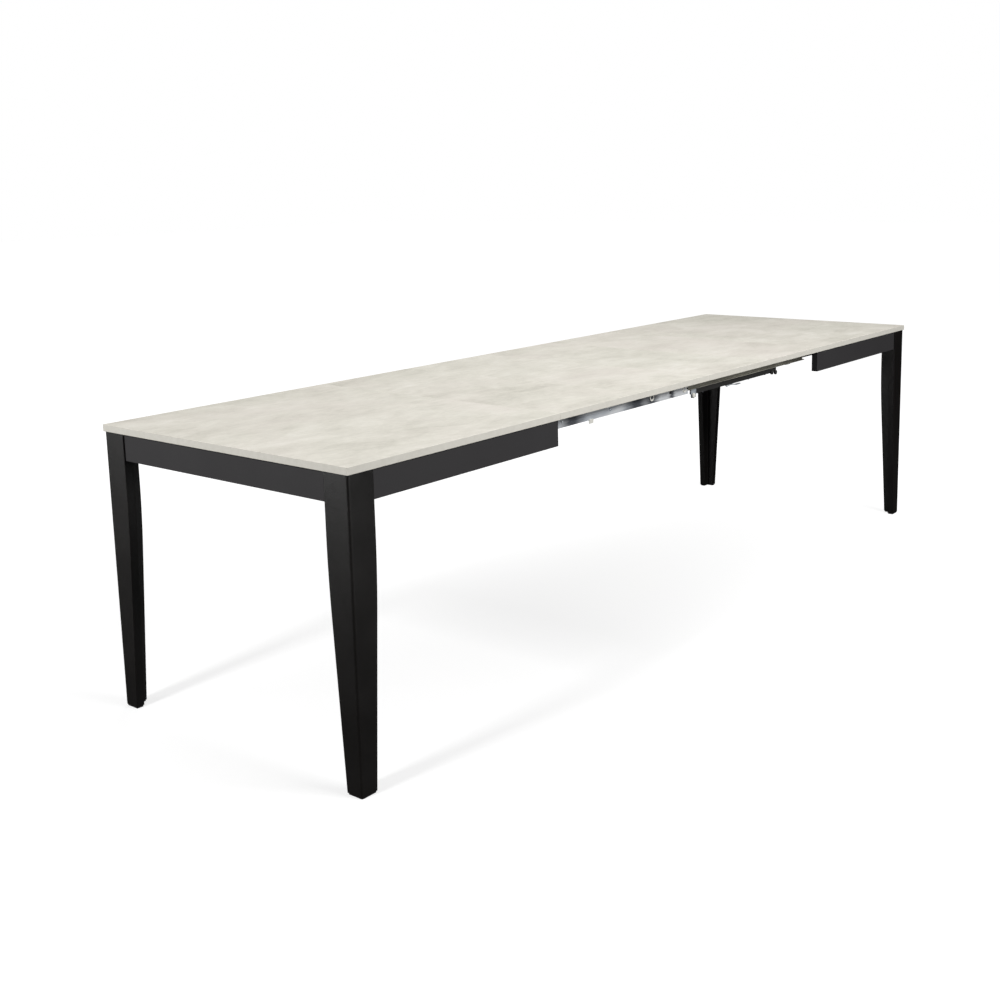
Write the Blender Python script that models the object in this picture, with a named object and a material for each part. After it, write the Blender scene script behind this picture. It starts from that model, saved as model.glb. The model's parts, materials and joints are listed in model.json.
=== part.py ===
"""Extendable dining table: two half tables on telescopic rails, with four loose leaves between them.

+X runs from the near end to the far end, +Y from the front to the back and +Z up. The origin is on the
floor under the middle of the extended table. All sizes are in metres.
"""

import math

import bmesh
import bpy
from mathutils import Matrix, Vector

# Driving dimensions of the extended table
TABLE_LENGTH = 3.0
TABLE_WIDTH = 0.9
TABLE_HEIGHT = 0.76
TOP_THICKNESS = 0.018
HALF_TOP_LENGTH = 0.75
LEAF_COUNT = 4
TOUCH_GAP = 0.0003  # between pieces that touch

# Legs: two boards joined at a right angle, whose wings narrow below the knee
LEG_INSET = 0.003
LEG_WING_TOP = 0.077
LEG_WING_FOOT = 0.048
LEG_WALL = 0.023
LEG_KNEE_HEIGHT = 0.51
LEG_KNEE_BLEND = 0.09
LEG_OUTER_RADIUS = 0.006
LEG_EDGE_RADIUS = 0.0015
GLIDE_THICKNESS = 0.004
GLIDE_INSET = 0.002

# Aprons
APRON_INSET = 0.007
APRON_THICKNESS = 0.022
APRON_HEIGHT = 0.070

# Corner brackets behind the aprons
BRACKET_STEEL = 0.003
BRACKET_REACH = 0.105
BRACKET_FLANGE = 0.035
BRACKET_BOTTOM = 0.676
BRACKET_TOP = 0.704

# Telescopic rails, from the apron inwards: near bar, middle rail, far bar
SPACER_THICKNESS = 0.0034
NEAR_BAR_THICKNESS = 0.004
BAR_HEIGHT = 0.0322
RAIL_CLEARANCE = 0.0015
MIDDLE_RAIL_WIDTH = 0.019
MIDDLE_RAIL_HEIGHT = 0.025
MIDDLE_RAIL_WEB = 0.003
MIDDLE_RAIL_TOP_FLANGE = 0.0065
MIDDLE_RAIL_BOTTOM_FLANGE = 0.0025
FAR_BAR_THICKNESS = 0.004
FAR_BAR_HEIGHT = 0.0225
FAR_BAR_FLANGE = 0.025
FAR_BAR_FLANGE_THICKNESS = 0.003
BAR_INNER_END = 0.07
BAR_OUTER_END = 1.40
MIDDLE_RAIL_HALF_LENGTH = 0.712
SPACER_LENGTH = 0.60
SPACER_START = 1.38

# Rollers and their axles
ROLLER_RADIUS = 0.0077
ROLLER_BORE = 0.0033
ROLLER_WIDTH = 0.0078
AXLE_RADIUS = 0.003
AXLE_HEAD_RADIUS = 0.0052
AXLE_HEAD_THICKNESS = 0.0025
ROLLER_OFFSETS = (0.09, 0.27)

# Pieces under the middle rails
CROSSBAR_OFFSET = 0.62
CROSSBAR_WIDTH = 0.030
CROSSBAR_DEPTH = 0.006
CROSSBAR_SEAT = 0.0045
GUIDE_BAR_START = -0.03
GUIDE_BAR_END = 0.515
GUIDE_BAR_WIDTH = 0.008
GUIDE_BAR_DEPTH = 0.017
KNOB_X = -0.030
KNOB_DROP = 0.0015
KNOB_RADIUS = 0.0075
KNOB_LENGTH = 0.006
KNOB_PLATE = 0.003
KNOB_PLATE_LENGTH = 0.028
BUFFER_RADIUS = 0.0075
BUFFER_LENGTH = 0.0055
BUFFER_RISE = 0.003
BUFFER_X = (0.478, 0.504)
LEVER_PIVOT_X = 0.19
LEVER_LENGTH = 0.085
LEVER_WIDTH = 0.010
LEVER_THICKNESS = 0.003
LEVER_DROP = 0.0045
CLIP_X = -0.571
CLIP_WIDTH = 0.020
CLIP_BOTTOM = 0.7005
CLIP_HEIGHT = 0.012
CLIP_THICKNESS = 0.0025

# Levels and offsets that follow from them
TOP_UNDERSIDE = TABLE_HEIGHT - TOP_THICKNESS
FRAME_TOP = TOP_UNDERSIDE - TOUCH_GAP
APRON_BOTTOM = TOP_UNDERSIDE - APRON_HEIGHT
APRON_OUTER_Y = TABLE_WIDTH / 2 - APRON_INSET
APRON_INNER_Y = APRON_OUTER_Y - APRON_THICKNESS
APRON_OUTER_X = TABLE_LENGTH / 2 - APRON_INSET
APRON_INNER_X = APRON_OUTER_X - APRON_THICKNESS
LEG_OUTER_X = TABLE_LENGTH / 2 - LEG_INSET
LEG_OUTER_Y = TABLE_WIDTH / 2 - LEG_INSET
SPACER_Y = APRON_INNER_Y - TOUCH_GAP
NEAR_BAR_Y = SPACER_Y - SPACER_THICKNESS - TOUCH_GAP
BAR_BOTTOM = FRAME_TOP - BAR_HEIGHT
FAR_BAR_BOTTOM = FRAME_TOP - FAR_BAR_HEIGHT
MIDDLE_RAIL_Y = NEAR_BAR_Y - NEAR_BAR_THICKNESS - RAIL_CLEARANCE
MIDDLE_RAIL_BOTTOM = FRAME_TOP - MIDDLE_RAIL_HEIGHT
MIDDLE_RAIL_CENTRE_Y = MIDDLE_RAIL_Y - MIDDLE_RAIL_WIDTH / 2
FAR_BAR_Y = MIDDLE_RAIL_Y - MIDDLE_RAIL_WIDTH - RAIL_CLEARANCE
CHANNEL_BOTTOM = MIDDLE_RAIL_BOTTOM + MIDDLE_RAIL_BOTTOM_FLANGE
CHANNEL_TOP = FRAME_TOP - MIDDLE_RAIL_TOP_FLANGE
ROLLER_Z = (CHANNEL_BOTTOM + CHANNEL_TOP) / 2
GUIDE_BAR_TOP = MIDDLE_RAIL_BOTTOM - TOUCH_GAP
GUIDE_BAR_BOTTOM = GUIDE_BAR_TOP - GUIDE_BAR_DEPTH
LEAF_LENGTH = (TABLE_LENGTH - 2 * HALF_TOP_LENGTH) / LEAF_COUNT

ENDS = {"near": -1, "far": 1}
SIDES = {"front": -1, "back": 1}


def clear_scene():
    for obj in list(bpy.data.objects):
        bpy.data.objects.remove(obj, do_unlink=True)


def make_material(name, colour, roughness, metallic=0.0):
    material = bpy.data.materials.new(name)
    material.use_nodes = True
    shader = material.node_tree.nodes["Principled BSDF"]
    shader.inputs["Base Color"].default_value = (*colour, 1.0)
    shader.inputs["Roughness"].default_value = roughness
    shader.inputs["Metallic"].default_value = metallic
    material.diffuse_color = (*colour, 1.0)
    return material


def make_materials():
    return {
        "concrete_laminate": make_material("concrete_laminate", (0.71, 0.69, 0.63), 0.55),
        "leg_lacquer": make_material("leg_lacquer", (0.016, 0.015, 0.015), 0.45),
        "apron_lacquer": make_material("apron_lacquer", (0.042, 0.040, 0.042), 0.60),
        "zinc_steel": make_material("zinc_steel", (0.56, 0.60, 0.66), 0.25, 1.0),
        "anodised_aluminium": make_material("anodised_aluminium", (0.33, 0.33, 0.29), 0.35, 1.0),
        "black_steel": make_material("black_steel", (0.03, 0.03, 0.03), 0.40, 0.6),
        "white_nylon": make_material("white_nylon", (0.72, 0.71, 0.66), 0.45),
        "black_rubber": make_material("black_rubber", (0.012, 0.012, 0.012), 0.70),
        "black_plastic": make_material("black_plastic", (0.015, 0.015, 0.015), 0.55),
    }


def link_mesh(name, mesh, material):
    obj = bpy.data.objects.new(name, mesh)
    bpy.context.scene.collection.objects.link(obj)
    mesh.materials.append(material)
    return obj


def mesh_from_bmesh(name, bm, smooth_angle=None):
    bmesh.ops.recalc_face_normals(bm, faces=bm.faces)
    mesh = bpy.data.meshes.new(name)
    bm.to_mesh(mesh)
    bm.free()
    if smooth_angle is not None:
        mesh.shade_smooth()
        mesh.set_sharp_from_angle(angle=math.radians(smooth_angle))
    return mesh


def move_origin(obj, point):
    """Puts the object's origin at a point without moving its shape."""
    point = Vector(point)
    obj.data.transform(Matrix.Translation(-point))
    obj.location = point


def box_between(bm, low, high):
    size = [high[i] - low[i] for i in range(3)]
    centre = [(high[i] + low[i]) / 2 for i in range(3)]
    bmesh.ops.create_cube(bm, size=1.0, matrix=Matrix.Translation(centre) @ Matrix.Diagonal((*size, 1.0)))


def make_box(name, low, high, material, bevel=0.0, segments=1):
    """An upright box between two corners, in any order, with bevelled edges."""
    low, high = zip(*(sorted(pair) for pair in zip(low, high)))
    bm = bmesh.new()
    box_between(bm, low, high)
    obj = link_mesh(name, mesh_from_bmesh(name, bm), material)
    centre = [(a + b) / 2 for a, b in zip(low, high)]
    move_origin(obj, centre)
    if bevel:
        add_bevel(obj, bevel, segments)
    return obj


def add_bevel(obj, width, segments=1):
    bevel = obj.modifiers.new("edges", "BEVEL")
    bevel.width = width
    bevel.segments = segments
    bevel.limit_method = "ANGLE"
    bevel.angle_limit = math.radians(40)


def make_extrusion(name, outline, axis, start, end, material):
    """A closed outline swept from start to end along X, Y or Z. The outline's points lie in the other two axes."""
    place = {
        "X": lambda u, v, t: (t, u, v),
        "Y": lambda u, v, t: (u, t, v),
        "Z": lambda u, v, t: (u, v, t),
    }[axis]
    bm = bmesh.new()
    first = [bm.verts.new(place(u, v, start)) for u, v in outline]
    last = [bm.verts.new(place(u, v, end)) for u, v in outline]
    bm.faces.new(first)
    bm.faces.new(last)
    count = len(outline)
    for i in range(count):
        j = (i + 1) % count
        bm.faces.new((first[i], first[j], last[j], last[i]))
    return link_mesh(name, mesh_from_bmesh(name, bm), material)


def rounded_outline(corners):
    """Replaces each corner (point, radius, segments) of a polygon by an arc."""
    outline = []
    count = len(corners)
    for i, (point, radius, segments) in enumerate(corners):
        corner = Vector(point)
        before = (Vector(corners[i - 1][0]) - corner).normalized()
        after = (Vector(corners[(i + 1) % count][0]) - corner).normalized()
        half_angle = before.angle(after) / 2
        reach = radius / math.tan(half_angle)
        centre = corner + (before + after).normalized() * (radius / math.sin(half_angle))
        start = corner + before * reach - centre
        sweep = start.angle_signed(corner + after * reach - centre)
        for step in range(segments + 1):
            turn = Matrix.Rotation(-sweep * step / segments, 2)
            outline.append(tuple(centre + turn @ start))
    return outline


# Tops and leaves


def build_tops(materials):
    half_width = TABLE_WIDTH / 2
    seam = TOUCH_GAP / 2
    inner = TABLE_LENGTH / 2 - HALF_TOP_LENGTH
    for end, sign in ENDS.items():
        low = (sign * (inner + seam), -half_width, TOP_UNDERSIDE)
        high = (sign * TABLE_LENGTH / 2, half_width, TABLE_HEIGHT)
        make_box(f"top_{end}", low, high, materials["concrete_laminate"], 0.0006)
    for index in range(LEAF_COUNT):
        start = -inner + index * LEAF_LENGTH
        low = (start + seam, -half_width, TOP_UNDERSIDE)
        high = (start + LEAF_LENGTH - seam, half_width, TABLE_HEIGHT)
        make_box(f"leaf_{index + 1}", low, high, materials["concrete_laminate"], 0.0006)


# Legs and their glides


def leg_wing(height):
    """Width of a leg's two wings at a height: straight above the knee, narrowing evenly below it."""
    slope = (LEG_WING_TOP - LEG_WING_FOOT) / LEG_KNEE_HEIGHT
    below = LEG_KNEE_HEIGHT - height
    if below > LEG_KNEE_BLEND:
        return LEG_WING_TOP - slope * below
    if below < -LEG_KNEE_BLEND:
        return LEG_WING_TOP
    return LEG_WING_TOP - slope * (below + LEG_KNEE_BLEND) ** 2 / (4 * LEG_KNEE_BLEND)


def leg_outline(wing, inset=0.0):
    """L-shaped section with its outer corner at (0, 0) and its wings along +X and +Y."""
    edge = LEG_EDGE_RADIUS
    near, wall, wing = inset, LEG_WALL - inset, wing - inset
    return rounded_outline(
        [
            ((near, near), LEG_OUTER_RADIUS - inset, 5),
            ((wing, near), edge, 2),
            ((wing, wall), edge, 2),
            ((wall, wall), edge, 2),
            ((wall, wing), edge, 2),
            ((near, wing), edge, 2),
        ]
    )


def loft(name, levels, outline_at, place, material):
    """Joins the same outline at several heights into one closed solid."""
    bm = bmesh.new()
    rings = []
    for height in levels:
        rings.append([bm.verts.new(place(u, v, height)) for u, v in outline_at(height)])
    count = len(rings[0])
    for lower, upper in zip(rings, rings[1:]):
        for i in range(count):
            j = (i + 1) % count
            bm.faces.new((lower[i], lower[j], upper[j], upper[i]))
    bm.faces.new(rings[0])
    bm.faces.new(rings[-1])
    return link_mesh(name, mesh_from_bmesh(name, bm, smooth_angle=40), material)


def build_legs(materials):
    foot = GLIDE_THICKNESS + TOUCH_GAP
    blend_low = LEG_KNEE_HEIGHT - LEG_KNEE_BLEND
    blend_steps = 6
    levels = [foot]
    levels += [blend_low + 2 * LEG_KNEE_BLEND * i / blend_steps for i in range(blend_steps + 1)]
    levels += [FRAME_TOP]
    for end, x_sign in ENDS.items():
        for side, y_sign in SIDES.items():

            def place(u, v, height, x_sign=x_sign, y_sign=y_sign):
                return (x_sign * (LEG_OUTER_X - u), y_sign * (LEG_OUTER_Y - v), height)

            corner = (x_sign * LEG_OUTER_X, y_sign * LEG_OUTER_Y)
            leg = loft(
                f"leg_{end}_{side}",
                levels,
                lambda height: leg_outline(leg_wing(height)),
                place,
                materials["leg_lacquer"],
            )
            move_origin(leg, (*corner, FRAME_TOP))
            glide = loft(
                f"glide_{end}_{side}",
                [0.0, GLIDE_THICKNESS],
                lambda height: leg_outline(leg_wing(foot), GLIDE_INSET),
                place,
                materials["black_plastic"],
            )
            move_origin(glide, (*corner, 0.0))


# Aprons and corner brackets


def build_aprons(materials):
    paint = materials["apron_lacquer"]
    joint_x = LEG_OUTER_X - LEG_WING_TOP - TOUCH_GAP
    joint_y = LEG_OUTER_Y - LEG_WING_TOP - TOUCH_GAP
    split_x = TABLE_LENGTH / 2 - HALF_TOP_LENGTH + TOUCH_GAP
    for end, x_sign in ENDS.items():
        low = (x_sign * APRON_INNER_X, -joint_y, APRON_BOTTOM)
        high = (x_sign * APRON_OUTER_X, joint_y, FRAME_TOP)
        make_box(f"apron_{end}_end", low, high, paint, 0.0008)
        for side, y_sign in SIDES.items():
            low = (x_sign * split_x, y_sign * APRON_INNER_Y, APRON_BOTTOM)
            high = (x_sign * joint_x, y_sign * APRON_OUTER_Y, FRAME_TOP)
            make_box(f"apron_{end}_{side}", low, high, paint, 0.0008)


def bracket_outline():
    """Bent strip seen from above, in distances inwards from the aprons' inner faces."""
    steel, reach, flange = BRACKET_STEEL, BRACKET_REACH, BRACKET_FLANGE
    start = TOUCH_GAP
    slant = steel * math.tan(math.radians(22.5))
    return [
        (start, reach),
        (start, reach - flange),
        (reach - flange, start),
        (reach, start),
        (reach, start + steel),
        (reach - flange + slant, start + steel),
        (start + steel, reach - flange + slant),
        (start + steel, reach),
    ]


def build_corner_brackets(materials):
    for end, x_sign in ENDS.items():
        for side, y_sign in SIDES.items():
            outline = [
                (x_sign * (APRON_INNER_X - u), y_sign * (APRON_INNER_Y - v)) for u, v in bracket_outline()
            ]
            make_extrusion(
                f"corner_bracket_{end}_{side}",
                outline,
                "Z",
                BRACKET_BOTTOM,
                BRACKET_TOP,
                materials["zinc_steel"],
            )


# Rails


def cylinder_along_y(bm, x, z, radius, y_start, y_end, sides=24):
    centre = (x, (y_start + y_end) / 2, z)
    turn = Matrix.Rotation(math.radians(90), 4, "X")
    bmesh.ops.create_cone(
        bm,
        cap_ends=True,
        segments=sides,
        radius1=radius,
        radius2=radius,
        depth=abs(y_end - y_start),
        matrix=Matrix.Translation(centre) @ turn,
    )


def turn_about_y(profile, x, z, steps, closed):
    """Solid turned about a Y axis from (radius, y) points. A closed profile leaves a bore."""
    bm = bmesh.new()
    rings = []
    for step in range(steps):
        angle = 2 * math.pi * step / steps
        dx, dz = math.cos(angle), math.sin(angle)
        rings.append([bm.verts.new((x + r * dx, y, z + r * dz)) for r, y in profile])
    last = len(profile) if closed else len(profile) - 1
    for ring, following in zip(rings, rings[1:] + rings[:1]):
        for i in range(last):
            j = (i + 1) % len(profile)
            bm.faces.new((ring[i], ring[j], following[j], following[i]))
    if not closed:
        bm.faces.new([ring[0] for ring in rings])
        bm.faces.new([ring[-1] for ring in rings])
    return bm


def add_axles(bar, x_places, y_head, y_step, y_tip):
    """Roller pins through a bar: a round head that ends inside the bar, then a shank to the tip."""
    for index, x in enumerate(x_places):
        profile = [
            (AXLE_HEAD_RADIUS, y_head),
            (AXLE_HEAD_RADIUS, y_step),
            (AXLE_RADIUS, y_step),
            (AXLE_RADIUS, y_tip),
        ]
        name = f"{bar.name}_axle_{index + 1}"
        axle = bpy.data.objects.new(name, mesh_from_bmesh(name, turn_about_y(profile, x, ROLLER_Z, 24, False)))
        bpy.context.scene.collection.objects.link(axle)
        axle.hide_render = True
        axle.display_type = "WIRE"
        union = bar.modifiers.new(name, "BOOLEAN")
        union.operation = "UNION"
        union.solver = "EXACT"
        union.object = axle


def build_near_bars(materials):
    for side, sign in SIDES.items():
        outer = sign * NEAR_BAR_Y
        inner = sign * (NEAR_BAR_Y - NEAR_BAR_THICKNESS)
        low = (-BAR_OUTER_END, outer, BAR_BOTTOM)
        high = (-BAR_INNER_END, inner, FRAME_TOP)
        bar = make_box(f"rail_near_{side}", low, high, materials["zinc_steel"])
        tip = sign * (MIDDLE_RAIL_CENTRE_Y + MIDDLE_RAIL_WEB / 2 + 0.0006)
        head = sign * (NEAR_BAR_Y + AXLE_HEAD_THICKNESS)
        step = sign * (NEAR_BAR_Y - NEAR_BAR_THICKNESS * 0.4)
        add_axles(bar, [-offset for offset in ROLLER_OFFSETS], head, step, tip)
        make_box(
            f"rail_spacer_{side}",
            (-SPACER_START, sign * SPACER_Y, BAR_BOTTOM),
            (-SPACER_START + SPACER_LENGTH, sign * (SPACER_Y - SPACER_THICKNESS), FRAME_TOP),
            materials["black_plastic"],
        )


def middle_rail_outline(sign):
    """H-shaped section in (Y, Z): a web between two flanges, open to both sides."""
    outer = sign * MIDDLE_RAIL_Y
    inner = sign * (MIDDLE_RAIL_Y - MIDDLE_RAIL_WIDTH)
    web_outer = sign * (MIDDLE_RAIL_CENTRE_Y + MIDDLE_RAIL_WEB / 2)
    web_inner = sign * (MIDDLE_RAIL_CENTRE_Y - MIDDLE_RAIL_WEB / 2)
    return [
        (outer, MIDDLE_RAIL_BOTTOM),
        (inner, MIDDLE_RAIL_BOTTOM),
        (inner, CHANNEL_BOTTOM),
        (web_inner, CHANNEL_BOTTOM),
        (web_inner, CHANNEL_TOP),
        (inner, CHANNEL_TOP),
        (inner, FRAME_TOP),
        (outer, FRAME_TOP),
        (outer, CHANNEL_TOP),
        (web_outer, CHANNEL_TOP),
        (web_outer, CHANNEL_BOTTOM),
        (outer, CHANNEL_BOTTOM),
    ]


def build_middle_rails(materials):
    for side, sign in SIDES.items():
        make_extrusion(
            f"rail_middle_{side}",
            middle_rail_outline(sign),
            "X",
            -MIDDLE_RAIL_HALF_LENGTH,
            MIDDLE_RAIL_HALF_LENGTH,
            materials["anodised_aluminium"],
        )


def build_far_bars(materials):
    for side, sign in SIDES.items():
        outer = sign * FAR_BAR_Y
        inner = sign * (FAR_BAR_Y - FAR_BAR_THICKNESS)
        flange = sign * (FAR_BAR_Y - FAR_BAR_FLANGE)
        flange_under = FRAME_TOP - FAR_BAR_FLANGE_THICKNESS
        outline = [
            (outer, FAR_BAR_BOTTOM),
            (inner, FAR_BAR_BOTTOM),
            (inner, flange_under),
            (flange, flange_under),
            (flange, FRAME_TOP),
            (outer, FRAME_TOP),
        ]
        bar = make_extrusion(
            f"rail_far_{side}", outline, "X", BAR_INNER_END, BAR_OUTER_END, materials["anodised_aluminium"]
        )
        tip = sign * (MIDDLE_RAIL_CENTRE_Y - MIDDLE_RAIL_WEB / 2 - 0.0006)
        head = sign * (FAR_BAR_Y - FAR_BAR_THICKNESS - AXLE_HEAD_THICKNESS)
        step = sign * (FAR_BAR_Y - FAR_BAR_THICKNESS * 0.6)
        add_axles(bar, ROLLER_OFFSETS, head, step, tip)


def make_roller(name, x, y_centre, material):
    """Grooveless nylon wheel with a bore, turned about its own Y axis."""
    half = ROLLER_WIDTH / 2
    chamfer = 0.0006
    profile = [
        (ROLLER_BORE, -half),
        (ROLLER_RADIUS - chamfer, -half),
        (ROLLER_RADIUS, -half + chamfer),
        (ROLLER_RADIUS, half - chamfer),
        (ROLLER_RADIUS - chamfer, half),
        (ROLLER_BORE, half),
    ]
    bm = turn_about_y(profile, 0.0, 0.0, 28, True)
    roller = link_mesh(name, mesh_from_bmesh(name, bm, smooth_angle=40), material)
    roller.location = (x, y_centre, ROLLER_Z)
    return roller


def build_rollers(materials):
    web = MIDDLE_RAIL_WEB / 2
    near_y = (NEAR_BAR_Y - NEAR_BAR_THICKNESS + MIDDLE_RAIL_CENTRE_Y + web) / 2
    far_y = (FAR_BAR_Y + MIDDLE_RAIL_CENTRE_Y - web) / 2
    for side, sign in SIDES.items():
        for index, offset in enumerate(ROLLER_OFFSETS):
            number = index + 1
            make_roller(f"roller_near_{side}_{number}", -offset, sign * near_y, materials["white_nylon"])
            make_roller(f"roller_far_{side}_{number}", offset, sign * far_y, materials["white_nylon"])


# Pieces carried by the middle rails


def build_crossbars(materials):
    """Flat bars that tie the two middle rails together, passing under the far bars."""
    half = MIDDLE_RAIL_Y - MIDDLE_RAIL_WIDTH + CROSSBAR_SEAT
    top = MIDDLE_RAIL_BOTTOM - TOUCH_GAP
    for index, x in enumerate((-CROSSBAR_OFFSET, CROSSBAR_OFFSET)):
        make_box(
            f"crossbar_{index + 1}",
            (x - CROSSBAR_WIDTH / 2, -half, top - CROSSBAR_DEPTH),
            (x + CROSSBAR_WIDTH / 2, half, top),
            materials["black_steel"],
            0.0008,
        )


def make_round(name, x, z, radius, y_start, y_end, material, bevel):
    bm = bmesh.new()
    cylinder_along_y(bm, x, z, radius, y_start, y_end, 28)
    obj = link_mesh(name, mesh_from_bmesh(name, bm, smooth_angle=40), material)
    move_origin(obj, (x, (y_start + y_end) / 2, z))
    add_bevel(obj, bevel, 2)
    return obj


def build_guide_pieces(materials):
    """Lower guide bar of each middle rail, with its knob, knob bracket and rubber buffers."""
    bar_outer = MIDDLE_RAIL_CENTRE_Y + GUIDE_BAR_WIDTH / 2
    bar_inner = MIDDLE_RAIL_CENTRE_Y - GUIDE_BAR_WIDTH / 2
    fixing = bar_outer + TOUCH_GAP
    plate_outer = fixing + KNOB_PLATE
    knob_z = GUIDE_BAR_BOTTOM - KNOB_DROP
    knob_start = plate_outer + TOUCH_GAP
    for side, sign in SIDES.items():
        make_box(
            f"guide_bar_{side}",
            (GUIDE_BAR_START, sign * bar_inner, GUIDE_BAR_BOTTOM),
            (GUIDE_BAR_END, sign * bar_outer, GUIDE_BAR_TOP),
            materials["black_steel"],
            0.0008,
        )
        make_box(
            f"knob_bracket_{side}",
            (KNOB_X - KNOB_PLATE_LENGTH / 4, sign * fixing, knob_z - KNOB_RADIUS),
            (KNOB_X + 3 * KNOB_PLATE_LENGTH / 4, sign * plate_outer, GUIDE_BAR_TOP),
            materials["zinc_steel"],
            0.0006,
        )
        make_round(
            f"lock_knob_{side}",
            KNOB_X,
            knob_z,
            KNOB_RADIUS,
            sign * knob_start,
            sign * (knob_start + KNOB_LENGTH),
            materials["white_nylon"],
            0.0008,
        )
        for index, x in enumerate(BUFFER_X):
            make_round(
                f"buffer_{side}_{index + 1}",
                x,
                GUIDE_BAR_BOTTOM + BUFFER_RISE * (1 - index),
                BUFFER_RADIUS,
                sign * fixing,
                sign * (fixing + BUFFER_LENGTH),
                materials["black_rubber"],
                0.0006,
            )


def make_lever(name, pivot, material):
    """Flat lever lying along +X: a round end about its pivot, a slope and a lower narrow tail."""
    radius = LEVER_WIDTH / 2
    sections = []
    for angle in (170, 145, 120, 90):
        turn = math.radians(angle)
        sections.append((radius * math.cos(turn), radius * math.sin(turn), 0.0))
    sections.append((LEVER_LENGTH * 0.35, radius * 0.9, 0.0))
    sections.append((LEVER_LENGTH * 0.62, radius * 0.8, -LEVER_DROP))
    tail = radius * 0.7
    for angle in (90, 55, 25, 8):
        turn = math.radians(angle)
        x = LEVER_LENGTH - tail + tail * math.cos(turn)
        sections.append((x, tail * math.sin(turn), -LEVER_DROP))
    bm = bmesh.new()
    rings = []
    for x, half, z in sections:
        corners = ((-half, z), (half, z), (half, z - LEVER_THICKNESS), (-half, z - LEVER_THICKNESS))
        rings.append([bm.verts.new((x, y, height)) for y, height in corners])
    for ring, following in zip(rings, rings[1:]):
        for i in range(4):
            j = (i + 1) % 4
            bm.faces.new((ring[i], ring[j], following[j], following[i]))
    bm.faces.new(rings[0])
    bm.faces.new(rings[-1])
    obj = link_mesh(name, mesh_from_bmesh(name, bm, smooth_angle=30), material)
    obj.location = pivot
    return obj


def build_levers(materials):
    """Lock levers that swivel under the guide bars about upright pivots."""
    top = GUIDE_BAR_BOTTOM - TOUCH_GAP
    for side, sign in SIDES.items():
        pivot = (LEVER_PIVOT_X, sign * MIDDLE_RAIL_CENTRE_Y, top)
        make_lever(f"lock_lever_{side}", pivot, materials["zinc_steel"])


def build_clips(materials):
    """Small clips on the near bars' outer faces, whose lower edges hang just below the bars."""
    back = NEAR_BAR_Y + TOUCH_GAP
    for side, sign in SIDES.items():
        make_box(
            f"rail_clip_{side}",
            (CLIP_X - CLIP_WIDTH / 2, sign * back, CLIP_BOTTOM),
            (CLIP_X + CLIP_WIDTH / 2, sign * (back + CLIP_THICKNESS), CLIP_BOTTOM + CLIP_HEIGHT),
            materials["white_nylon"],
            0.0008,
        )


def main():
    clear_scene()
    materials = make_materials()
    build_tops(materials)
    build_legs(materials)
    build_aprons(materials)
    build_corner_brackets(materials)
    build_near_bars(materials)
    build_middle_rails(materials)
    build_far_bars(materials)
    build_rollers(materials)
    build_crossbars(materials)
    build_guide_pieces(materials)
    build_levers(materials)
    build_clips(materials)


main()
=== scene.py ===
"""Looks of the extendable dining table: materials, small fittings, floor, lights and camera."""

import json
import math

import bmesh
import bpy
from mathutils import Matrix, Vector


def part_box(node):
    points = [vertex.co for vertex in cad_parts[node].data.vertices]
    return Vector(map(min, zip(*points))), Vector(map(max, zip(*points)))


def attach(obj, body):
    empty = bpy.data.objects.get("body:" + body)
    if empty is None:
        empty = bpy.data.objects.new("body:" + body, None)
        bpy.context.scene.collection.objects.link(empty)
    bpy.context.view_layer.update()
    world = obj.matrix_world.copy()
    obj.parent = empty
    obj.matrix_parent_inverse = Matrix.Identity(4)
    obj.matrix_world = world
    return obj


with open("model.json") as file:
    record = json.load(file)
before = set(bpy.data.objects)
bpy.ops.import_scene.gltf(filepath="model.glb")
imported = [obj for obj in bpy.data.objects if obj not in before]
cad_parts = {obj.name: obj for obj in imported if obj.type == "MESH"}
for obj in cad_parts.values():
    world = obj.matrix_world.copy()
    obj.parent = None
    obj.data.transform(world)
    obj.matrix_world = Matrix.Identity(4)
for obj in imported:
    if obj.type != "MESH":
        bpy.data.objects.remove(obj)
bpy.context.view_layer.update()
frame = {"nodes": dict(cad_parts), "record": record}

SIDES = {"front": -1, "back": 1}
ENDS = {"near": -1, "far": 1}
ENDS_TO_BODIES = {"near": "near half", "far": "far half"}

# Places on the CAD pieces that their boxes don't give
AXLE_HEAD_PROUD = 0.0025  # height of the axle heads above the rail bars' faces
BRACKET_STEEL = 0.003
BRACKET_FLANGE = 0.035
FAR_FLANGE_THICKNESS = 0.003
FAR_FLANGE_INSET = 0.0085  # from the inner edge of a far bar's flange to its screws
LEVER_PIVOT_X = 0.19
LEVER_THICKNESS = 0.003

# Places of the small fittings along the rails
PLUG_PLACES = (-0.170, -0.076)
BAR_SCREW_PLACES = (-0.70, -0.48)
FLANGE_SCREW_PLACES = (0.80, 0.98, 1.16, 1.34)
GUIDE_SCREW_PLACES = (0.04, 0.33, 0.44)


# Materials


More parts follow.
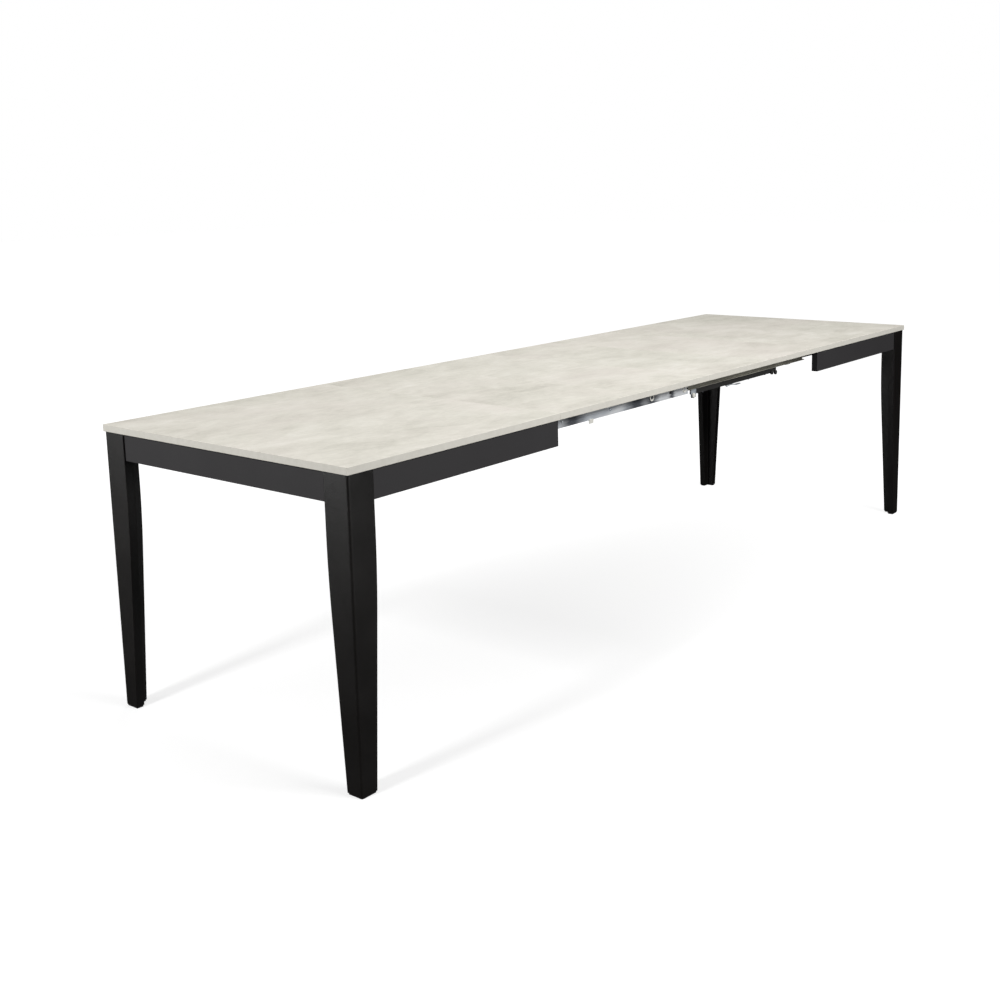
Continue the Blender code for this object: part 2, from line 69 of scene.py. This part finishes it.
class Nodes:
    """Short way to build a material's nodes."""

    def __init__(self, name):
        self.material = bpy.data.materials.new(name)
        self.material.use_nodes = True
        self.tree = self.material.node_tree
        self.shader = self.tree.nodes["Principled BSDF"]

    def add(self, kind, inputs=None, **settings):
        node = self.tree.nodes.new(kind)
        for key, value in settings.items():
            setattr(node, key, value)
        for key, value in (inputs or {}).items():
            if isinstance(value, bpy.types.NodeSocket):
                self.tree.links.new(value, node.inputs[key])
            else:
                node.inputs[key].default_value = value
        return node

    def place(self, scale=(1.0, 1.0, 1.0), offset=(0.0, 0.0, 0.0)):
        """Object coordinates, stretched and shifted."""
        source = self.add("ShaderNodeTexCoord").outputs["Object"]
        inputs = {"Vector": source, "Scale": scale, "Location": offset}
        return self.add("ShaderNodeMapping", inputs).outputs["Vector"]

    def noise(self, vector, scale, detail=4.0, roughness=0.5, distortion=0.0):
        inputs = {
            "Vector": vector,
            "Scale": scale,
            "Detail": detail,
            "Roughness": roughness,
            "Distortion": distortion,
        }
        return self.add("ShaderNodeTexNoise", inputs).outputs["Fac"]

    def ramp(self, value, stops):
        node = self.add("ShaderNodeValToRGB", {"Fac": value})
        elements = node.color_ramp.elements
        while len(elements) < len(stops):
            elements.new(0.5)
        for element, (position, colour) in zip(elements, stops):
            element.position = position
            element.color = colour if len(colour) == 4 else (*colour, 1.0)
        return node.outputs["Color"]

    def remap(self, value, low, high, to_low, to_high):
        inputs = {0: value, 1: low, 2: high, 3: to_low, 4: to_high}
        return self.add("ShaderNodeMapRange", inputs).outputs[0]

    def math(self, operation, a, b):
        return self.add("ShaderNodeMath", {0: a, 1: b}, operation=operation).outputs[0]

    def mix(self, factor, a, b, blend="MIX"):
        node = self.add("ShaderNodeMix", data_type="RGBA", blend_type=blend)
        for key, value in ((0, factor), (6, a), (7, b)):
            if isinstance(value, bpy.types.NodeSocket):
                self.tree.links.new(value, node.inputs[key])
            elif key == 0:
                node.inputs[key].default_value = value
            else:
                node.inputs[key].default_value = (*value, 1.0)
        return node.outputs[2]

    def bump(self, height, strength, distance):
        inputs = {"Height": height, "Strength": strength, "Distance": distance}
        return self.add("ShaderNodeBump", inputs).outputs["Normal"]

    def finish(self, **sockets):
        for name, value in sockets.items():
            socket = self.shader.inputs[name.replace("_", " ")]
            if isinstance(value, bpy.types.NodeSocket):
                self.tree.links.new(value, socket)
            else:
                socket.default_value = value
        return self.material


def concrete_laminate(name, offset):
    """Melamine board with a clouded concrete print on its faces and a plain band round its edges."""
    n = Nodes(name)
    place = n.place(offset=offset)
    streaked = n.place(scale=(0.80, 1.20, 1.0), offset=offset)
    clouds = n.noise(streaked, 2.3, 8.0, 0.66, 0.7)
    patches = n.noise(streaked, 9.0, 10.0, 0.72, 0.5)
    wisps = n.noise(n.place(scale=(0.60, 1.7, 1.0), offset=offset), 16.0, 8.0, 0.70, 0.8)
    fine = n.noise(place, 70.0, 5.0, 0.6)
    grain = n.noise(place, 900.0, 2.0, 0.5)
    tone = n.math("ADD", n.math("MULTIPLY", clouds, 0.32), n.math("MULTIPLY", patches, 0.32))
    tone = n.math("ADD", tone, n.math("MULTIPLY", wisps, 0.25))
    tone = n.math("ADD", tone, n.math("MULTIPLY", fine, 0.11))
    face = n.ramp(
        tone,
        [
            (0.38, (0.580, 0.560, 0.490)),
            (0.46, (0.690, 0.665, 0.590)),
            (0.53, (0.760, 0.733, 0.658)),
            (0.62, (0.835, 0.808, 0.745)),
        ],
    )
    tint = n.noise(n.place(offset=(offset[0] + 7.0, offset[1], offset[2])), 1.9, 4.0, 0.5, 0.6)
    face = n.mix(n.remap(tint, 0.50, 0.68, 0.0, 0.40), face, (0.765, 0.705, 0.655))
    face = n.mix(n.remap(tint, 0.48, 0.32, 0.0, 0.20), face, (0.650, 0.655, 0.565))
    flecks = n.noise(place, 260.0, 3.0, 0.7)
    face = n.mix(n.remap(flecks, 0.62, 0.74, 0.0, 0.14), face, (0.46, 0.45, 0.41))
    facing_way = n.add("ShaderNodeNewGeometry").outputs["Normal"]
    upright = n.add("ShaderNodeSeparateXYZ", {0: facing_way}).outputs["Z"]
    flat = n.remap(n.math("ABSOLUTE", upright, 0.0), 0.35, 0.6, 0.0, 1.0)
    band = n.mix(n.remap(fine, 0.3, 0.7, 0.0, 1.0), (0.650, 0.628, 0.565), (0.710, 0.688, 0.625))
    colour = n.mix(flat, band, face)
    rough = n.remap(patches, 0.3, 0.7, 0.50, 0.66)
    height = n.math("ADD", n.math("MULTIPLY", grain, 0.5), fine)
    normal = n.bump(height, 0.12, 0.0004)
    return n.finish(Base_Color=colour, Roughness=rough, Normal=normal, Specular_IOR_Level=0.35)


def lacquer(name, dark, light, rough, grain_scale, grain_height, specular):
    """Anthracite paint with a fine powdery grain and faint broad patches."""
    n = Nodes(name)
    place = n.place()
    grain = n.noise(place, grain_scale, 3.0, 0.65)
    broad = n.noise(place, 9.0, 4.0, 0.5)
    colour = n.mix(n.remap(grain, 0.35, 0.68, 0.0, 1.0), dark, light)
    colour = n.mix(n.remap(broad, 0.3, 0.7, 0.0, 0.22), colour, light)
    roughness = n.remap(broad, 0.3, 0.7, rough[0], rough[1])
    normal = n.bump(grain, 0.35, grain_height)
    return n.finish(Base_Color=colour, Roughness=roughness, Normal=normal, Specular_IOR_Level=specular)


def drawn_metal(name, tones, rough, metallic, bands, painted_dark_reflections=()):
    """Metal with fine draw marks along X, broad bands of bright and dark that paint reflections over the
    plating's own uneven tone, and small specks.

    Each painted dark reflection is a distance along X, where the metal is darkened over a few centimetres
    as a painted dark reflection.
    """
    n = Nodes(name)
    marks = n.noise(n.place(scale=(7.0, 420.0, 420.0)), 1.0, 5.0, 0.6)
    broad = n.noise(n.place(scale=(bands, 9.0, 9.0)), 1.0, 3.0, 0.55, 0.3)
    specks = n.noise(n.place(), 380.0, 3.0, 0.7)
    dark, middle, light = tones
    # Broad bands: painted reflection, bright and dark along X, on top of the plating's own uneven tone.
    colour = n.ramp(broad, [(0.40, dark), (0.48, middle), (0.56, light)])
    colour = n.mix(n.remap(marks, 0.35, 0.7, 0.0, 0.35), colour, middle)
    # Painted dark reflections: the metal is darkened round each listed place along X.
    if painted_dark_reflections:
        along = n.add("ShaderNodeSeparateXYZ", {0: n.place()}).outputs["X"]
        wobble = n.math("MULTIPLY", n.math("SUBTRACT", marks, 0.5), 0.05)
        along = n.math("ADD", along, wobble)
        for centre, half_width in painted_dark_reflections:
            offset = n.math("ABSOLUTE", n.math("SUBTRACT", along, centre), 0.0)
            painted_reflection_dark = n.remap(offset, half_width * 0.3, half_width * 1.5, 0.92, 0.0)
            colour = n.mix(painted_reflection_dark, colour, dark)
    colour = n.mix(n.remap(specks, 0.60, 0.74, 0.0, 0.35), colour, middle)
    polish = n.remap(marks, 0.3, 0.7, rough[0], rough[1])
    roughness = n.math("ADD", polish, n.remap(broad, 0.4, 0.7, 0.0, 0.1))
    height = n.math("ADD", marks, n.math("MULTIPLY", specks, 0.5))
    normal = n.bump(height, 0.25, 0.0001)
    return n.finish(Base_Color=colour, Roughness=roughness, Metallic=metallic, Normal=normal)


def moulded(name, dark, light, rough):
    """Moulded plastic or rubber with a fine skin texture and faint scuffs."""
    n = Nodes(name)
    place = n.place()
    skin = n.noise(place, 600.0, 3.0, 0.6)
    scuffs = n.noise(place, 45.0, 5.0, 0.65, 0.5)
    colour = n.mix(n.remap(scuffs, 0.35, 0.7, 0.0, 1.0), dark, light)
    roughness = n.remap(scuffs, 0.3, 0.7, rough[0], rough[1])
    return n.finish(Base_Color=colour, Roughness=roughness, Normal=n.bump(skin, 0.3, 0.0001))


MATERIALS = {
    "leg_lacquer": lacquer(
        "leg_lacquer",
        dark=(0.0010, 0.0010, 0.0010),
        light=(0.0075, 0.0060, 0.0052),
        rough=(0.36, 0.44),
        grain_scale=430.0,
        grain_height=0.0010,
        specular=0.50,
    ),
    "apron_lacquer": lacquer(
        "apron_lacquer",
        dark=(0.031, 0.0296, 0.031),
        light=(0.039, 0.0372, 0.039),
        rough=(0.55, 0.65),
        grain_scale=900.0,
        grain_height=0.0001,
        specular=0.25,
    ),
    "zinc_steel": drawn_metal(
        "zinc_steel",
        tones=((0.09, 0.10, 0.12), (0.60, 0.65, 0.70), (0.93, 0.96, 0.98)),
        rough=(0.24, 0.38),
        metallic=0.55,
        bands=5.0,
    ),
    # Near bars: the zinc with painted dark reflections at listed places along X.
    "zinc_bar_painted_reflections": drawn_metal(
        "zinc_bar_painted_reflections",
        tones=((0.05, 0.055, 0.07), (0.62, 0.66, 0.71), (0.95, 0.97, 0.99)),
        rough=(0.24, 0.38),
        metallic=0.45,
        bands=4.0,
        painted_dark_reflections=((-0.655, 0.045), (-0.345, 0.05), (-0.268, 0.03), (-0.16, 0.012)),
    ),
    "anodised_aluminium": drawn_metal(
        "anodised_aluminium",
        tones=((0.26, 0.25, 0.21), (0.36, 0.35, 0.30), (0.50, 0.49, 0.42)),
        rough=(0.32, 0.46),
        metallic=0.45,
        bands=3.0,
    ),
    "black_steel": lacquer(
        "black_steel",
        dark=(0.018, 0.018, 0.018),
        light=(0.034, 0.033, 0.032),
        rough=(0.32, 0.45),
        grain_scale=700.0,
        grain_height=0.0002,
        specular=0.4,
    ),
    "white_nylon": moulded("white_nylon", (0.66, 0.65, 0.60), (0.78, 0.77, 0.72), (0.38, 0.52)),
    "black_rubber": moulded("black_rubber", (0.010, 0.010, 0.010), (0.022, 0.022, 0.021), (0.60, 0.80)),
    "black_plastic": moulded("black_plastic", (0.010, 0.010, 0.010), (0.020, 0.020, 0.020), (0.45, 0.60)),
}

# Shift of the print on each board, so that no two boards look alike
BOARD_OFFSETS = {
    "top_near": (0.0, 0.0, 0.0),
    "leaf_1": (3.1, 1.7, 0.0),
    "leaf_2": (6.4, 4.2, 0.0),
    "leaf_3": (9.8, 2.9, 0.0),
    "leaf_4": (12.7, 6.1, 0.0),
    "top_far": (15.9, 3.3, 0.0),
}


def paint_frame():
    slots = {part["node"]: part["material_slot"] for part in frame["record"]["subparts"]}
    for node, slot in slots.items():
        obj = frame["nodes"][node]
        if slot == "concrete_laminate":
            material = concrete_laminate(f"concrete_{node}", BOARD_OFFSETS[node])
        # The near bars get the zinc with painted dark reflections.
        elif node.startswith("rail_near"):
            material = MATERIALS["zinc_bar_painted_reflections"]
        else:
            material = MATERIALS[slot]
        if not obj.material_slots:
            obj.data.materials.append(material)
        for material_slot in obj.material_slots:
            material_slot.material = material


# Small fittings


def mesh_object(name, bm, material, body):
    """Turns a bmesh into a piece that rides on a body. Its material has the name of its slot."""
    bmesh.ops.recalc_face_normals(bm, faces=bm.faces)
    mesh = bpy.data.meshes.new(name)
    bm.to_mesh(mesh)
    bm.free()
    mesh.shade_smooth()
    mesh.set_sharp_from_angle(angle=math.radians(35))
    mesh.materials.append(MATERIALS[material])
    obj = bpy.data.objects.new(name, mesh)
    bpy.context.scene.collection.objects.link(obj)
    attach(obj, body)
    return obj


def turned(bm, profile, place, sides=20):
    """Adds a solid turned about local Z from (radius, height) points, closed at both ends on the axis."""
    rings = []
    for radius, height in profile:
        ring = []
        for step in range(sides):
            angle = 2 * math.pi * step / sides
            point = Vector((radius * math.cos(angle), radius * math.sin(angle), height))
            ring.append(bm.verts.new(place @ point))
        rings.append(ring)
    for lower, upper in zip(rings, rings[1:]):
        for i in range(sides):
            j = (i + 1) % sides
            bm.faces.new((lower[i], lower[j], upper[j], upper[i]))
    bm.faces.new(rings[0])
    bm.faces.new(rings[-1])


def facing(point, direction):
    """Puts local Z along a direction at a point."""
    turn = Vector((0, 0, 1)).rotation_difference(Vector(direction)).to_matrix().to_4x4()
    return Matrix.Translation(point) @ turn


def screw_head(bm, point, direction, radius=0.0042):
    """Pan head with a socket, whose flat side is at the point and whose crown faces the direction."""
    height = radius * 0.62
    socket = radius * 0.42
    profile = [
        (radius, 0.0),
        (radius, height * 0.35),
        (radius * 0.93, height * 0.68),
        (radius * 0.72, height * 0.93),
        (radius * 0.55, height),
        (socket, height),
        (socket, height * 0.35),
    ]
    turned(bm, profile, facing(point, direction), 18)


def screws(name, places, direction, body, material="zinc_steel", radius=0.0042):
    bm = bmesh.new()
    for point in places:
        screw_head(bm, point, direction, radius)
    mesh_object(name, bm, material, body)


def ring(bm, inner, outer, height, place, sides=28, rib=0.0):
    """Flat ring with softened edges. A rib above zero makes its rim wavy, as on a grip."""
    soft = min(height, outer - inner) * 0.2
    profile = [
        (inner, 0.0),
        (outer - soft, 0.0),
        (outer, soft),
        (outer, height - soft),
        (outer - soft, height),
        (inner, height),
    ]
    columns = []
    for step in range(sides):
        angle = 2 * math.pi * step / sides
        column = []
        for radius, level in profile:
            swell = rib if radius > inner and step % 2 else 0.0
            point = Vector(((radius - swell) * math.cos(angle), (radius - swell) * math.sin(angle), level))
            column.append(bm.verts.new(place @ point))
        columns.append(column)
    for column, following in zip(columns, columns[1:] + columns[:1]):
        for i in range(len(profile)):
            j = (i + 1) % len(profile)
            bm.faces.new((column[i], column[j], following[j], following[i]))


def corner_bolts():
    """Washer, hex nut and bolt end on each corner bracket, with the screws of its two flanges."""
    for end, x_sign in ENDS.items():
        body = ENDS_TO_BODIES[end]
        for side, y_sign in SIDES.items():
            low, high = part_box(f"corner_bracket_{end}_{side}")
            corner_x = low[0] if x_sign < 0 else high[0]
            corner_y = low[1] if y_sign < 0 else high[1]
            reach = high[0] - low[0]
            middle = (low[2] + high[2]) / 2
            inward = Vector((-x_sign, -y_sign, 0)).normalized()
            face = (reach - BRACKET_FLANGE) / 2 + 0.0022
            centre = Vector((corner_x - x_sign * face, corner_y - y_sign * face, middle))
            bm = bmesh.new()
            place = facing(centre, inward)
            washer = 0.0014
            ring(bm, 0.0042, 0.0095, washer, place)
            nut = place @ Matrix.Translation((0, 0, washer))
            turned(bm, [(0.0068, 0.0), (0.0072, 0.0008), (0.0072, 0.0050), (0.0066, 0.0058)], nut, 6)
            turned(bm, [(0.0036, 0.0), (0.0036, 0.0125), (0.0030, 0.0132)], nut)
            mesh_object(f"bolt_{end}_{side}", bm, "zinc_steel", body)
            run = reach - 0.016
            heights = (middle - 0.007, middle + 0.007)
            along = [(corner_x - x_sign * run, corner_y - y_sign * BRACKET_STEEL, z) for z in heights]
            screws(f"bracket_screws_a_{end}_{side}", along, (0, -y_sign, 0), body, radius=0.0036)
            across = [(corner_x - x_sign * BRACKET_STEEL, corner_y - y_sign * run, z) for z in heights]
            screws(f"bracket_screws_b_{end}_{side}", across, (-x_sign, 0, 0), body, radius=0.0036)


def centre_of(low, high):
    return [(a + b) / 2 for a, b in zip(low, high)]


def outer_y(low, high, sign):
    """Y of a box's side that faces away from the table's middle."""
    return low[1] if sign < 0 else high[1]


def near_bar_fittings(side, sign):
    """Rings round the axle heads, dark plugs and screws on a near bar's outer face."""
    out = (0, sign, 0)
    low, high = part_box(f"rail_near_{side}")
    face_y = outer_y(low, high, sign) - sign * AXLE_HEAD_PROUD
    bm = bmesh.new()
    for index in (1, 2):
        x, _, axle_z = centre_of(*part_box(f"roller_near_{side}_{index}"))
        ring(bm, 0.0058, 0.0108, 0.0022, facing((x, face_y, axle_z), out))
    mesh_object(f"axle_rings_{side}", bm, "white_nylon", "near half")
    plugs = [(x, face_y, axle_z - 0.001) for x in PLUG_PLACES]
    screws(f"bar_plugs_{side}", plugs, out, "near half", "black_plastic", 0.0034)
    middle = (low[2] + high[2]) / 2
    places = [(x, face_y, middle) for x in BAR_SCREW_PLACES]
    screws(f"bar_screws_{side}", places, out, "near half")


def far_bar_fittings(side, sign):
    low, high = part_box(f"rail_far_{side}")
    screw_y = outer_y(low, high, -sign) + sign * FAR_FLANGE_INSET
    places = [(x, screw_y, high[2] - FAR_FLANGE_THICKNESS) for x in FLANGE_SCREW_PLACES]
    screws(f"flange_screws_{side}", places, (0, 0, -1), "far half", radius=0.0038)


def lever_rivet(side):
    down = (0, 0, -1)
    washer = 0.0007
    low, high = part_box(f"lock_lever_{side}")
    pivot = Vector((LEVER_PIVOT_X, (low[1] + high[1]) / 2, high[2] - LEVER_THICKNESS))
    bm = bmesh.new()
    ring(bm, 0.0026, 0.0048, washer, facing(pivot, down))
    crown = [(0.0032, 0.0), (0.0032, 0.0009), (0.0025, 0.0017), (0.0012, 0.0021)]
    turned(bm, crown, facing(pivot - Vector((0, 0, washer)), down))
    mesh_object(f"lever_rivet_{side}", bm, "zinc_steel", f"lock lever {side}")


def guide_fittings(side, sign):
    """Screws of a guide bar and of its knob bracket."""
    low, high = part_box(f"guide_bar_{side}")
    places = [(x, (low[1] + high[1]) / 2, low[2]) for x in GUIDE_SCREW_PLACES]
    screws(f"guide_screws_{side}", places, (0, 0, -1), "middle rails", radius=0.0032)
    low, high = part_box(f"knob_bracket_{side}")
    place = (high[0] - 0.006, outer_y(low, high, sign), high[2] - 0.006)
    screws(f"bracket_screw_{side}", [place], (0, sign, 0), "middle rails", radius=0.0026)


def knob_grip(side, sign):
    """Ribbed grip round a lock knob, and the round end of its spindle."""
    out = (0, sign, 0)
    low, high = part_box(f"lock_knob_{side}")
    x, y, z = centre_of(low, high)
    radius = (high[0] - low[0]) / 2
    depth = high[1] - low[1]
    bm = bmesh.new()
    start = facing((x, y - sign * depth * 0.30, z), out)
    ring(bm, radius - 0.0008, radius + 0.0009, depth * 0.6, start, 36, 0.0006)
    spindle = [(0.0030, 0.0), (0.0030, 0.0006), (0.0022, 0.0012), (0.0010, 0.0014)]
    turned(bm, spindle, facing((x, y + sign * depth / 2, z), out))
    mesh_object(f"knob_grip_{side}", bm, "white_nylon", f"lock knob {side}")


def buffer_screws(side, sign):
    for index in (1, 2):
        low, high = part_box(f"buffer_{side}_{index}")
        x, _, z = centre_of(low, high)
        place = (x, outer_y(low, high, sign) - sign * 0.0002, z)
        screws(f"buffer_screw_{side}_{index}", [place], (0, sign, 0), "middle rails", "black_steel", 0.0030)


def crossbar_screws(index):
    low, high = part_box(f"crossbar_{index}")
    x = (low[0] + high[0]) / 2
    places = [(x, y, low[2]) for y in (low[1] + 0.012, high[1] - 0.012)]
    screws(f"crossbar_screws_{index}", places, (0, 0, -1), "middle rails")


def rail_fittings():
    """Small fittings on the rails and on what the rails carry."""
    for side, sign in SIDES.items():
        near_bar_fittings(side, sign)
        far_bar_fittings(side, sign)
        lever_rivet(side)
        guide_fittings(side, sign)
        knob_grip(side, sign)
        buffer_screws(side, sign)
    for index in (1, 2):
        crossbar_screws(index)


# Floor, lights and camera


def build_stage():
    """White floor. The camera sees it glow as painted light, nearly burnt out and brighter further off,
    which washes out shadows there; other rays see it dim.
    """
    bm = bmesh.new()
    bmesh.ops.create_grid(bm, x_segments=1, y_segments=1, size=30.0)
    mesh = bpy.data.meshes.new("floor")
    bm.to_mesh(mesh)
    bm.free()
    floor = bpy.data.objects.new("floor", mesh)
    floor.location.z = -0.0005
    bpy.context.scene.collection.objects.link(floor)
    n = Nodes("floor_white")
    shade = n.noise(n.place(), 0.7, 3.0, 0.5)
    seen = n.add("ShaderNodeLightPath").outputs["Is Camera Ray"]
    colour = n.mix(shade, (0.41, 0.41, 0.41), (0.43, 0.43, 0.43))
    colour = n.mix(seen, (0.04, 0.04, 0.04), colour)
    from_near_legs = n.place(offset=(1.5, 0.0, 0.0))
    away = n.add("ShaderNodeVectorMath", {0: from_near_legs}, operation="LENGTH").outputs["Value"]
    # Painted light: camera rays see the floor glow, and the glow grows brighter further from the near legs.
    glow = n.math("MULTIPLY", seen, n.remap(away, 1.0, 4.0, 0.675, 1.0))
    n.finish(
        Base_Color=colour,
        Roughness=0.9,
        Specular_IOR_Level=0.0,
        Emission_Color=(1.0, 1.0, 1.0, 1.0),
        Emission_Strength=glow,
    )
    mesh.materials.append(n.material)


def add_area(name, location, target, size, energy):
    light = bpy.data.lights.new(name, "AREA")
    light.shape = "RECTANGLE"
    light.size, light.size_y = size
    light.energy = energy
    obj = bpy.data.objects.new(name, light)
    obj.location = location
    direction = Vector(target) - Vector(location)
    obj.rotation_euler = direction.to_track_quat("-Z", "Y").to_euler()
    obj.visible_camera = False
    bpy.context.scene.collection.objects.link(obj)


def build_world():
    """White backdrop for the camera, and a faint even light for everything else."""
    world = bpy.data.worlds.new("studio")
    world.use_nodes = True
    nodes, links = world.node_tree.nodes, world.node_tree.links
    soft = nodes["Background"]
    backdrop = nodes.new("ShaderNodeBackground")
    for background, strength in ((soft, 0.04), (backdrop, 1.0)):
        background.inputs["Color"].default_value = (1.0, 1.0, 1.0, 1.0)
        background.inputs["Strength"].default_value = strength
    seen = nodes.new("ShaderNodeLightPath")
    choose = nodes.new("ShaderNodeMixShader")
    links.new(seen.outputs["Is Camera Ray"], choose.inputs[0])
    links.new(soft.outputs[0], choose.inputs[1])
    links.new(backdrop.outputs[0], choose.inputs[2])
    links.new(choose.outputs[0], nodes["World Output"].inputs["Surface"])
    bpy.context.scene.world = world


def build_lights():
    build_world()
    add_area("key", (-5.4, 0.05, 3.3), (-1.2, 0.0, 0.5), (0.7, 0.7), 165.0)
    add_area("fill", (0.0, -4.2, 3.0), (0.4, 0.0, 0.7), (2.4, 1.2), 160.0)
    add_area("front panel", (-0.3, -4.2, 0.9), (0.3, 0.0, 0.7), (2.2, 0.6), 38.0)
    add_area("overhead", (0.5, 0.4, 3.4), (0.3, 0.1, 0.0), (3.2, 2.6), 57.0)
    add_area("side panel", (-4.0, 2.1, 0.8), (-1.5, 0.0, 0.6), (1.4, 0.8), 28.0)


def build_camera():
    camera = bpy.data.cameras.new("camera")
    camera.sensor_width = 36.0
    camera.lens = 45.579
    camera.shift_x = -0.032
    camera.shift_y = -0.100
    location = (-3.3041, -2.3933, 1.3522)
    yaw, down, roll = (math.radians(angle) for angle in (38.554, 9.839, -1.170))
    forward = Vector((math.cos(yaw) * math.cos(down), math.sin(yaw) * math.cos(down), -math.sin(down)))
    turn = forward.to_track_quat("-Z", "Y").to_matrix().to_4x4() @ Matrix.Rotation(roll, 4, "Z")
    obj = bpy.data.objects.new("camera", camera)
    obj.matrix_world = Matrix.Translation(location) @ turn
    bpy.context.scene.collection.objects.link(obj)
    bpy.context.scene.camera = obj


paint_frame()
corner_bolts()
rail_fittings()
build_stage()
build_lights()
build_camera()
bpy.context.scene.view_settings.view_transform = "Standard"
